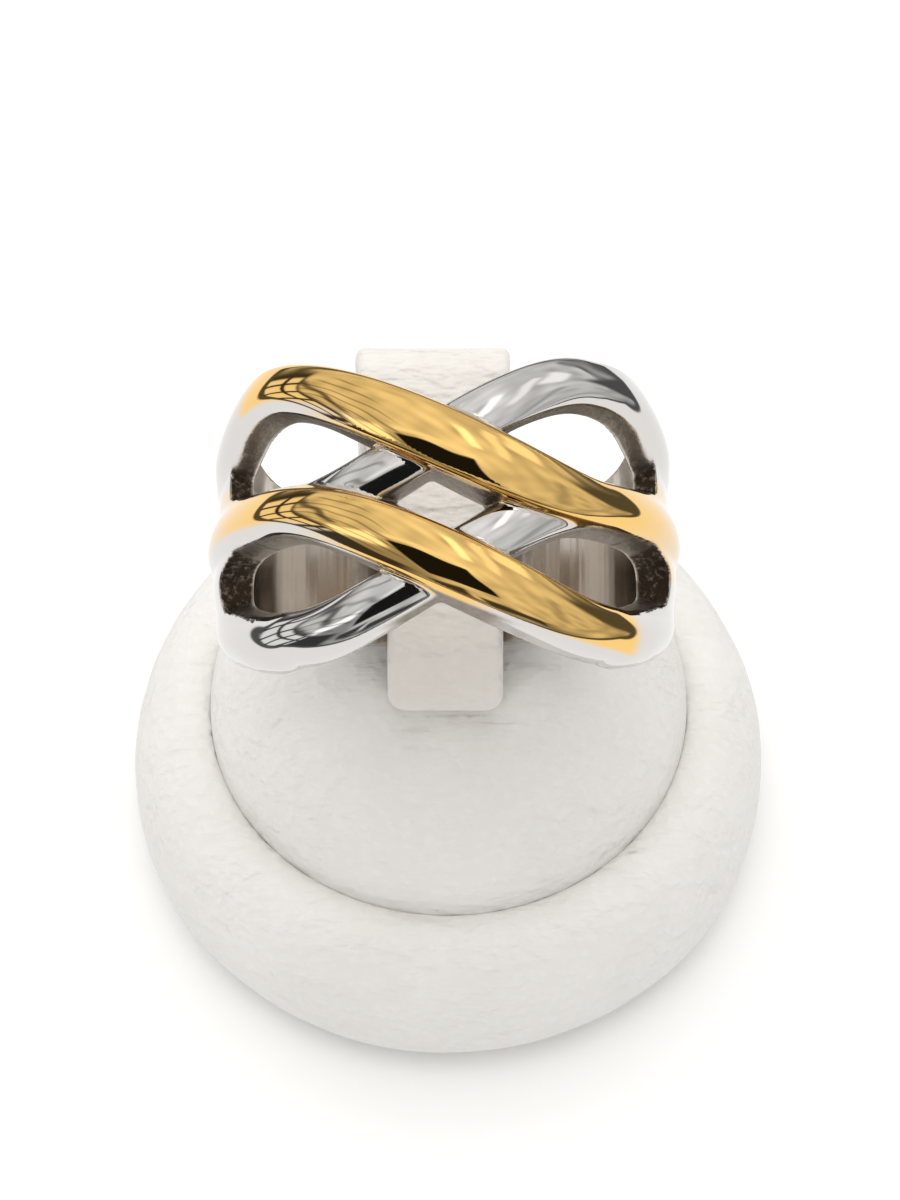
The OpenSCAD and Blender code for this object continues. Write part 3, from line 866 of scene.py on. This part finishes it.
def room():
    """A shell that only reflections see: soft boxes, a dark room and the table's white."""
    rows, turns = 200, 400
    down = np.radians(np.linspace(0.05, 179.95, rows))[:, None]
    round_ = (np.arange(turns) * 2 * math.pi / turns)[None]
    x = (np.sin(down) * np.cos(round_)).ravel()
    y = (np.sin(down) * np.sin(round_)).ravel()
    z = (np.cos(down) + 0 * round_).ravel()
    steep = np.degrees(np.arccos(np.clip(z, -1, 1)))
    out = np.hypot(x, y) + 1e-6
    right, back = steep * x / out, steep * y / out
    way = np.stack([x, y, z], 1)
    sway = waves(way, 0.5, 6, 10), waves(way, 0.5, 7, 10)
    right, back = right + 2.2 * sway[0], back + 2.2 * sway[1]
    ripple = 1 + 0.16 * waves(way, 0.8, 5, 10) + 0.2 * waves(way, 0.3, 15, 12)
    level = (0.90 - 0.18 * band(steep, 20, 34)) * ripple

    def lay(mask, value):
        return level * (1 - mask) + value * mask

    def box(x0, x1, y0, y1, soft):
        across = band(right, x0 - soft, x0 + soft) * band(right, x1 + soft, x1 - soft)
        return across * band(back, y0 - soft, y0 + soft) * band(back, y1 + soft, y1 - soft)

    for x0, x1, y0, y1, soft, value in ROOM:
        level = lay(box(x0, x1, y0, y1, soft), value)
    fold = lambda v, n: np.abs((v + n) % (2 * n) - n)
    ribs = band(fold(right * 0.8 + back * 0.6, 5.5), 1.9, 0.5) * box(-74, -26, -44, 46, 5)
    level = level * (1 - 0.5 * ribs)
    # the dark room beyond the table
    low = 84 - 7 * band(back, 0, 60)
    dim = 0.3 + 0.22 * waves(way, 0.35, 9, 12) + 0.25 * band(right, 30, 60) * band(back, 30, 0)
    level = lay(band(steep, low, low + 5), np.clip(dim, 0.06, 0.8))
    level = lay(band(right, 62, 70) * band(back, 22, 34), 0.10)
    # bright window panes low on the left, in a dark wall
    turn = np.degrees(np.arctan2(y, -x))
    level = lay(band(steep, 72, 76) * band(np.abs(turn), 62, 50), 0.05)
    panes = band(fold(turn, 9), 1.2, 2.6) * band(fold(steep - 1, 7), 0.9, 2.1)
    level = lay(panes * band(np.abs(turn - 12), 36, 32) * band(steep, 75, 77), 1.0)
    # the camera and the photographer in front
    level = lay(box(-31, 12, -60, -19, 1.2), 0.012)
    level = lay(box(-37, -14, -86, -70, 3), 0.06)
    level = lay(box(-9, 34, -92, -78, 3), 0.06)
    # the white table, up to its edge a little under the horizon
    edge = 103 + 4 * band(right, -60, 60)
    level = lay(band(steep - edge, -5.5, -3.5), 0.10)
    level = lay(band(steep - edge, -0.8, 0.8), 1.08)
    points = way * ROOM_R
    i = np.arange(rows - 1)[:, None] * turns
    j = np.arange(turns)[None]
    k = (j + 1) % turns
    quads = np.stack([i + j, i + turns + j, i + turns + k, i + k], -1).reshape(-1, 4)
    shell = mesh_object("studio_room", points, quads)
    add_attribute(shell.data, "level", level)
    m = Nodes("studio_room")
    m.tree.nodes.clear()
    glow = m.node("ShaderNodeEmission")
    m.put(m.attribute("level"), glow.inputs["Strength"])
    glow.inputs["Color"].default_value = (1, 0.99, 0.975, 1)
    m.put(glow.outputs[0], m.node("ShaderNodeOutputMaterial").inputs[0])
    m.owner.cycles.emission_sampling = "NONE"
    shell.data.materials.append(m.owner)
    shell.visible_camera = shell.visible_diffuse = shell.visible_shadow = shell.visible_transmission = False


def studio():
    """Plain soft light, the shell of reflections and a pale floor."""
    world = bpy.data.worlds.new("studio")
    bpy.context.scene.world = world
    world.use_nodes = True
    w = Nodes(world=world)
    w.tree.nodes.clear()
    split = w.node("ShaderNodeSeparateXYZ")
    w.put(w.node("ShaderNodeTexCoord").outputs["Generated"], split.inputs[0])
    background = w.node("ShaderNodeBackground")
    front = w.range(split.outputs[2], 0.05, 0.7, 0.29, 1.25)
    share = w.range(split.outputs[1], -0.95, -0.1)
    strength = w.math("MULTIPLY_ADD", share, w.math("SUBTRACT", 0.80, front), front)
    w.put(strength, background.inputs["Strength"])
    background.inputs["Color"].default_value = (1, 0.994, 0.985, 1)
    w.put(background.outputs[0], w.node("ShaderNodeOutputWorld").inputs[0])
    world.cycles.sampling_method = "NONE"
    room()
    for name, place, turn, size, energy in (
        ("softbox_over", (-0.05, 0.25, 0.78), (-17, -4), (1.1, 0.9), 4.3),
        ("softbox_front", (-0.1, -0.34, 0.74), (25, -7), (0.6, 0.4), 0.4),
    ):
        light = bpy.data.lights.new(name, "AREA")
        light.shape = "RECTANGLE"
        light.size, light.size_y = size
        light.energy = energy
        light.color = (1, 0.99, 0.97)
        softbox = bpy.data.objects.new(name, light)
        bpy.context.scene.collection.objects.link(softbox)
        softbox.location = place
        softbox.rotation_euler = (math.radians(turn[0]), math.radians(turn[1]), 0)
        softbox.visible_glossy = softbox.visible_camera = False

    corners = np.array([[-1, -1, 0], [1, -1, 0], [1, 1, 0], [-1, 1, 0]]) * FLOOR_HALF
    floor = mesh_object("floor", corners, np.array([[0, 1, 2, 3]]), False)
    floor.data.materials.append(floor_material())
    floor.visible_glossy = False


def camera():
    """The photo's camera: 180 mm away, as assumed, and fitted to the stand's outline from there."""
    data = bpy.data.cameras.new("camera")
    ob = bpy.data.objects.new("camera", data)
    bpy.context.scene.collection.objects.link(ob)
    ob.location = Vector((0.07, -99.85, 176.15)) * MM
    ob.rotation_euler = (math.radians(90 - CAMERA_PITCH), 0, 0)
    data.sensor_width = 36
    data.lens = FOCAL_PIXELS / PHOTO_HEIGHT * data.sensor_width
    data.clip_start = 0.01
    data.clip_end = 20
    bpy.context.scene.camera = ob


camera()
studio()
bpy.context.scene.view_settings.view_transform = "Standard"

ring = build_ring()
ring.data.materials.append(metal_material())
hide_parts("ring")
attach(ring, "root")

pad = leather_material("pad_leather", (0.80, 0.785, 0.765, 1), (0.765, 0.75, 0.725, 1), 0.1, 420)
strap = leather_material("strap_leather", (0.80, 0.77, 0.73, 1), (0.755, 0.72, 0.675, 1), 0.75, 760)
for piece, node, finish in (
    (build_base(), "stand_base", pad),
    (build_dome(), "stand_dome", pad),
    (build_clip(), "ring_clip", strap),
):
    piece.data.materials.append(finish)
    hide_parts(node)
    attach(piece, "root")
